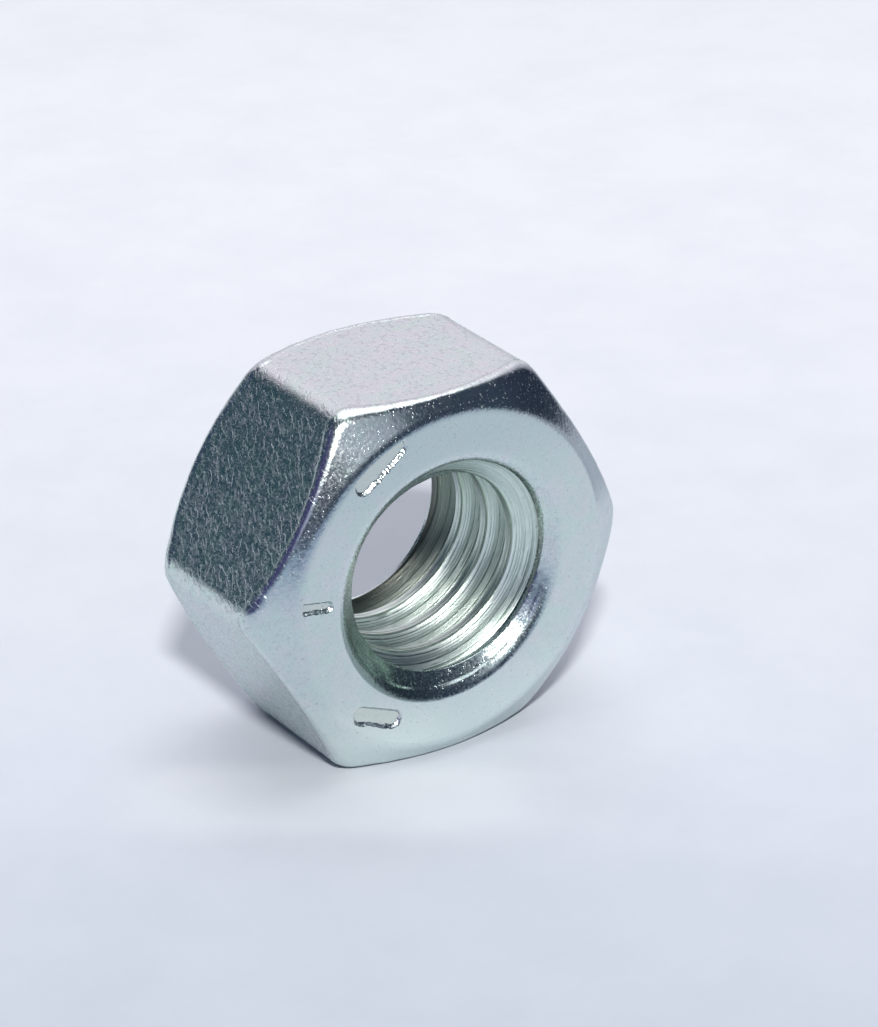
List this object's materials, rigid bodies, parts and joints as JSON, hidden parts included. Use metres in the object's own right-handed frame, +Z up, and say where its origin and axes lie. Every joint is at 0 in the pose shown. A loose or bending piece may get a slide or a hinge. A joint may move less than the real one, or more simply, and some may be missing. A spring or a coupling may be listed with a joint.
{
  "type": "hex nut",
  "caption": "Hexagonal steel nut with a right-hand threaded through hole, chamfered corners on both sides and a bright zinc finish.",
  "frame": {"origin": "on the ground under the middle of the nut, which stands on one of its flats", "axes": "+Z up; the thread's axis lies along Y at half the width across flats above the ground; the stamped face looks along -Y; two corners point along +X and -X"},
  "size_m": [0.0144, 0.007, 0.0127],
  "materials": {
    "zinc_plate": "bright zinc plating, lightly mottled and scratched"
  },
  "bodies": {
    "root": {"hex_nut": "zinc_plate"}
  },
  "joints": []
}
